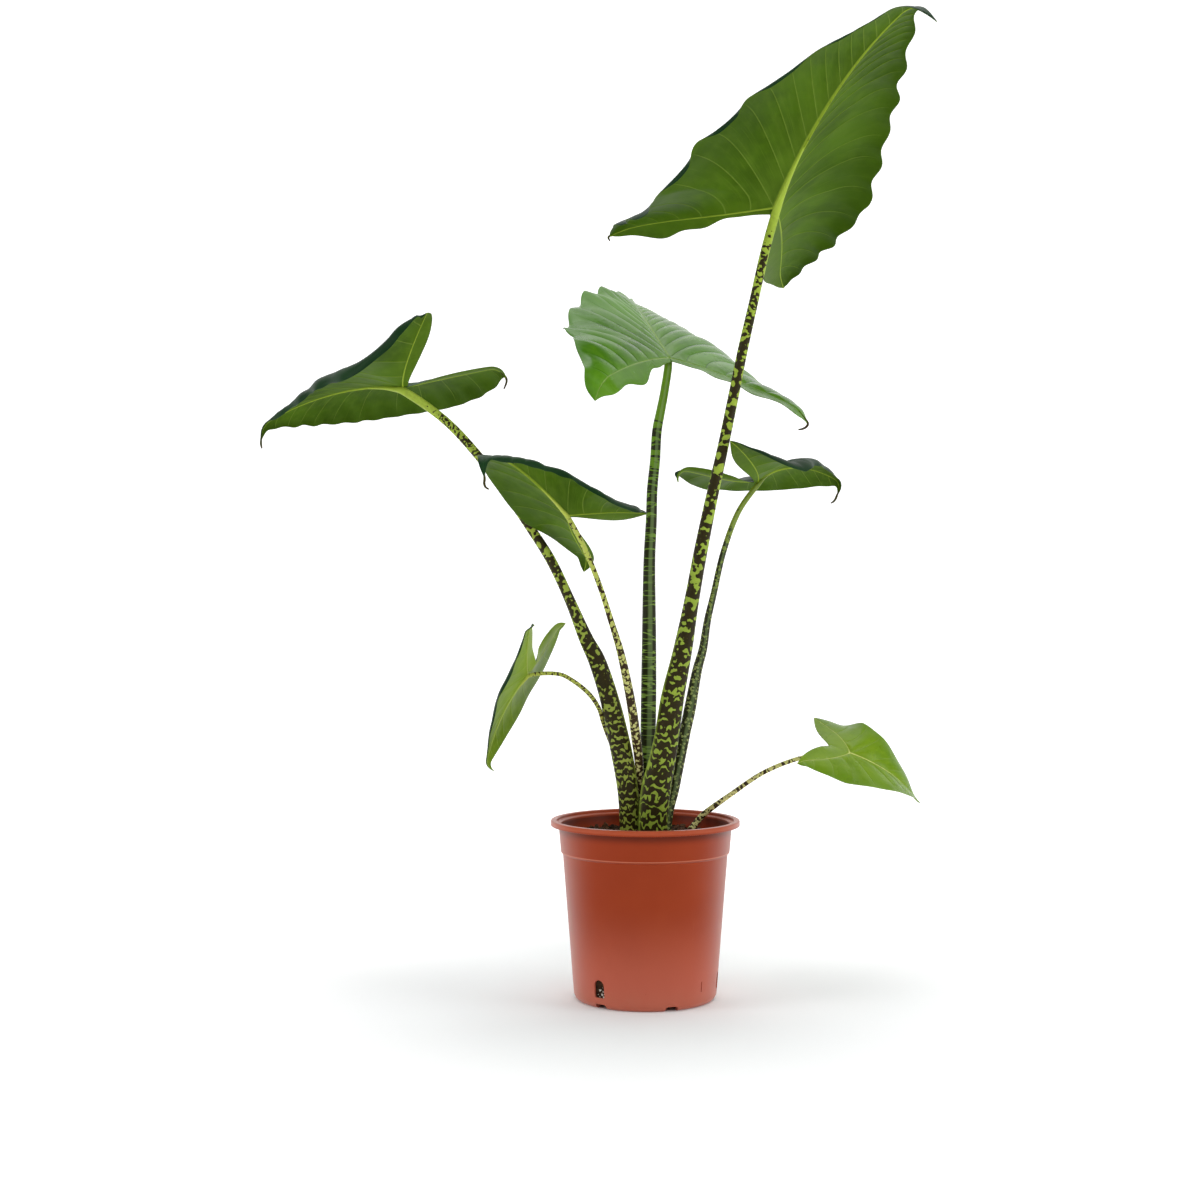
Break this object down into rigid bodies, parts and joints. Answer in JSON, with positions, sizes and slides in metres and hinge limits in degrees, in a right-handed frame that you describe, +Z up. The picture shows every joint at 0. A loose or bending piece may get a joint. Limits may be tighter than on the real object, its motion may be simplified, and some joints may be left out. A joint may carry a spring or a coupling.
{
  "type": "potted alocasia zebrina",
  "caption": "Tall potted foliage plant with arrow-shaped blades on long zebra-marked stalks, in a round moulded nursery pot with a rolled lip.",
  "frame": {"origin": "centre of the pot's underside, on the surface that the pot stands on", "axes": "+Z up along the pot's axis, -Y towards the front, +X to the right when seen from the front"},
  "size_m": [0.6899, 0.5934, 0.9222],
  "materials": {
    "pot": "satin terracotta-coloured moulded plastic",
    "soil": "damp potting mix with bark and light grit",
    "corm": "rough brown corm skin",
    "petiole": "smooth stalk, yellow-green with dark zigzag bands",
    "blade": "thick glossy leaf, dark green above and matte mid-green below"
  },
  "bodies": {
    "root": {"pot": "pot", "soil": "soil", "corm": "corm", "petiole_1": "petiole", "petiole_2": "petiole", "petiole_3": "petiole", "petiole_4": "petiole", "petiole_5": "petiole", "petiole_6": "petiole", "petiole_7": "petiole", "blade_1": "blade", "blade_2": "blade", "blade_3": "blade", "blade_4": "blade", "blade_5": "blade", "blade_6": "blade", "blade_7": "blade"}
  },
  "joints": []
}
